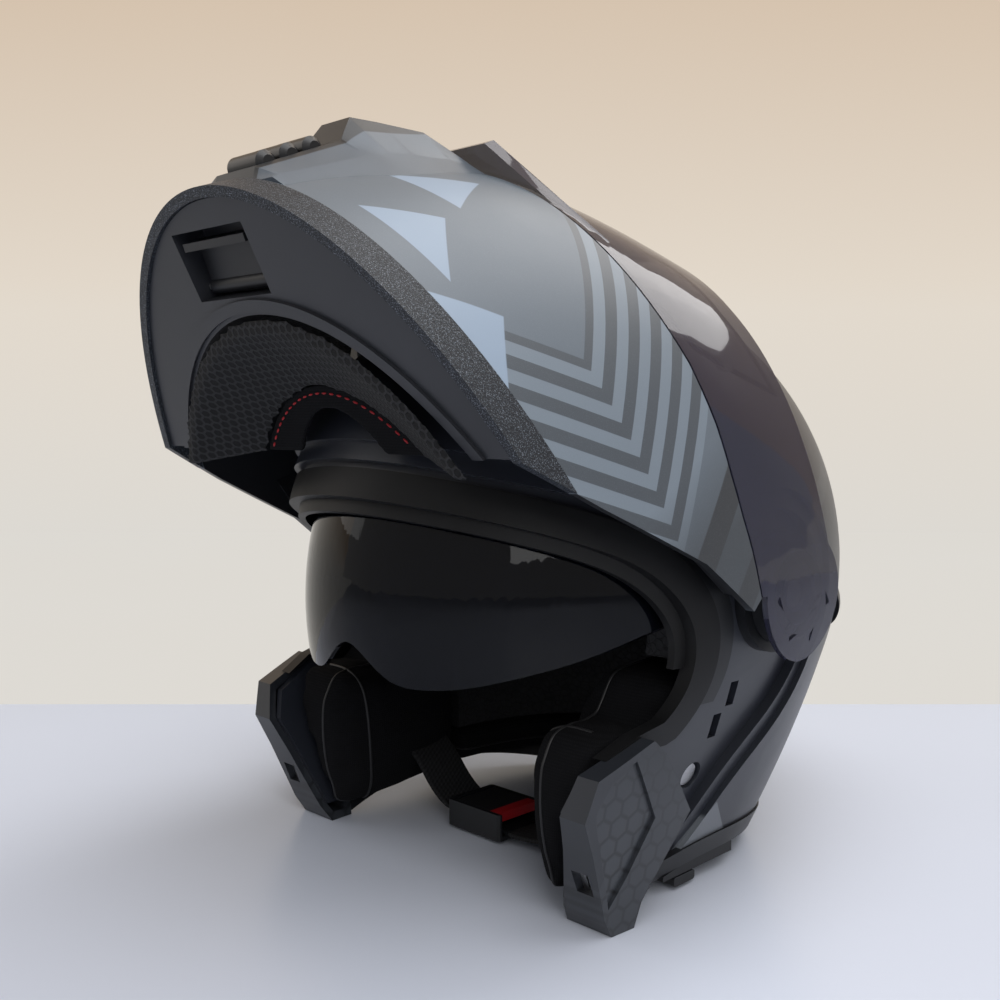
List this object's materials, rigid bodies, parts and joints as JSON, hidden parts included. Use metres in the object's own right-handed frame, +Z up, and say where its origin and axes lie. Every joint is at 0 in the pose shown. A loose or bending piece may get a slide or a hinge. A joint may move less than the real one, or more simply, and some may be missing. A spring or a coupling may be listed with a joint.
{
  "type": "modular motorcycle helmet",
  "caption": "Modular motorcycle helmet standing on its rim, chin bar flipped up, smoked outer visor and lowered sun visor.",
  "frame": {"origin": "centre of the resting object's box, on the surface it stands on", "axes": "+Z up, the face opening looks along -Y, +X is the wearer's left"},
  "size_m": [0.256, 0.3336, 0.3018],
  "materials": {
    "shell_paint": "dark matte lacquer with pale flat shapes",
    "chin_paint": "matte slate lacquer with a lighter slanted pattern",
    "dark_plastic": "fine grain",
    "charcoal_plastic": "satin charcoal",
    "textured_plastic": "coarse grain with a sheen",
    "black_rubber": "satin",
    "steel": "satin",
    "foam": "moulded bead foam",
    "black_fabric": "knitted",
    "mesh_fabric": "open mesh",
    "webbing": "woven webbing",
    "red_plastic": "satin",
    "smoke_visor": "glossy dark smoke",
    "smoke_sun_visor": "glossy dark smoke",
    "clear_insert": "clear",
    "seal": "satin"
  },
  "bodies": {
    "helmet": {"outer_shell": "shell_paint", "eps_liner": "foam", "comfort_liner": "black_fabric", "cheek_pad_left": "black_fabric", "cheek_pad_right": "black_fabric", "neck_roll": "black_fabric", "base_trim": "dark_plastic", "jaw_cover_left": "charcoal_plastic", "jaw_cover_right": "charcoal_plastic", "brow_gasket": "black_rubber", "face_moulding_left": "dark_plastic", "face_moulding_right": "dark_plastic", "hinge_base_left": "dark_plastic", "hinge_base_right": "dark_plastic", "hinge_screws": "steel", "top_vent_base": "dark_plastic", "rear_spoiler": "dark_plastic", "sun_visor_pins": "steel", "strap_anchors": "steel", "strap_left": "webbing", "strap_right": "webbing", "buckle_body": "dark_plastic", "buckle_tongue": "dark_plastic", "lever_guide": "dark_plastic", "latch_plate_left": "steel", "latch_plate_right": "steel"},
    "chin_bar": {"chin_shell": "chin_paint", "chin_trim": "textured_plastic", "chin_base": "charcoal_plastic", "chin_foam": "foam", "chin_mesh_pad": "mesh_fabric", "breath_guard": "black_fabric", "chin_vent_cover": "charcoal_plastic", "release_pin": "steel", "chin_arm_left": "dark_plastic", "chin_arm_right": "dark_plastic"},
    "chin_vent_slider": {"chin_vent_ribs": "black_rubber"},
    "release_lever": {"release_lever": "dark_plastic"},
    "latch_hook_left": {"latch_hook_left": "steel"},
    "latch_hook_right": {"latch_hook_right": "steel"},
    "visor": {"visor_lens": "smoke_visor", "visor_hub_left": "dark_plastic", "visor_hub_right": "dark_plastic", "antifog_insert": "clear_insert", "insert_seal": "seal", "insert_pins": "clear_insert"},
    "sun_visor": {"sun_visor": "smoke_sun_visor"},
    "sun_visor_lever": {"sun_visor_lever": "dark_plastic"},
    "top_vent_slider": {"top_vent_slider": "dark_plastic"},
    "buckle_lever": {"buckle_lever": "red_plastic"}
  },
  "joints": [
    {"name": "chin_bar_hinge", "type": "hinge", "parent": "helmet", "child": "chin_bar", "pos_m": [0, 0.0215, 0.122], "axis": [1, 0, 0], "range_deg": [0, 68]},
    {"name": "visor_hinge", "type": "hinge", "parent": "chin_bar", "child": "visor", "pos_m": [0, 0.0215, 0.122], "axis": [1, 0, 0], "range_deg": [-45, 0]},
    {"name": "sun_visor_hinge", "type": "hinge", "parent": "helmet", "child": "sun_visor", "pos_m": [0, 0.0345, 0.112], "axis": [1, 0, 0], "range_deg": [-40, 0]},
    {"name": "sun_visor_lever_slide", "type": "slide", "parent": "helmet", "child": "sun_visor_lever", "axis": [0, 1, 0], "range_m": [0, 0.02]},
    {"name": "top_vent_slide", "type": "slide", "parent": "helmet", "child": "top_vent_slider", "axis": [0, -0.9942, -0.1074], "range_m": [0, 0.01]},
    {"name": "chin_vent_slide", "type": "slide", "parent": "chin_bar", "child": "chin_vent_slider", "axis": [0, 0.9272, 0.3746], "range_m": [0, 0.004]},
    {"name": "release_lever_hinge", "type": "hinge", "parent": "chin_bar", "child": "release_lever", "pos_m": [-0.007, -0.14047, 0.23991], "axis": [1, 0, 0], "range_deg": [0, 18], "stiffness_Nm_per_rad": 0.2, "springref_deg": -11.46},
    {"name": "latch_hook_left_hinge", "type": "hinge", "parent": "chin_bar", "child": "latch_hook_left", "pos_m": [0.091, -0.1125, 0.18673], "axis": [1, 0, 0], "range_deg": [0, 18]},
    {"name": "latch_hook_right_hinge", "type": "hinge", "parent": "chin_bar", "child": "latch_hook_right", "pos_m": [-0.091, -0.1125, 0.18673], "axis": [1, 0, 0], "range_deg": [0, 18]},
    {"name": "buckle_lever_hinge", "type": "hinge", "parent": "helmet", "child": "buckle_lever", "pos_m": [-0.022, -0.0075, 0.0115], "axis": [0, -1, 0], "range_deg": [0, 45], "stiffness_Nm_per_rad": 0.05, "springref_deg": -11.46}
  ],
  "couplings": [
    {"joint": "sun_visor_lever_slide", "follows": "sun_visor_hinge", "m_per_rad": -0.0286},
    {"joint": "latch_hook_left_hinge", "follows": "release_lever_hinge", "ratio": 1},
    {"joint": "latch_hook_right_hinge", "follows": "release_lever_hinge", "ratio": 1}
  ]
}
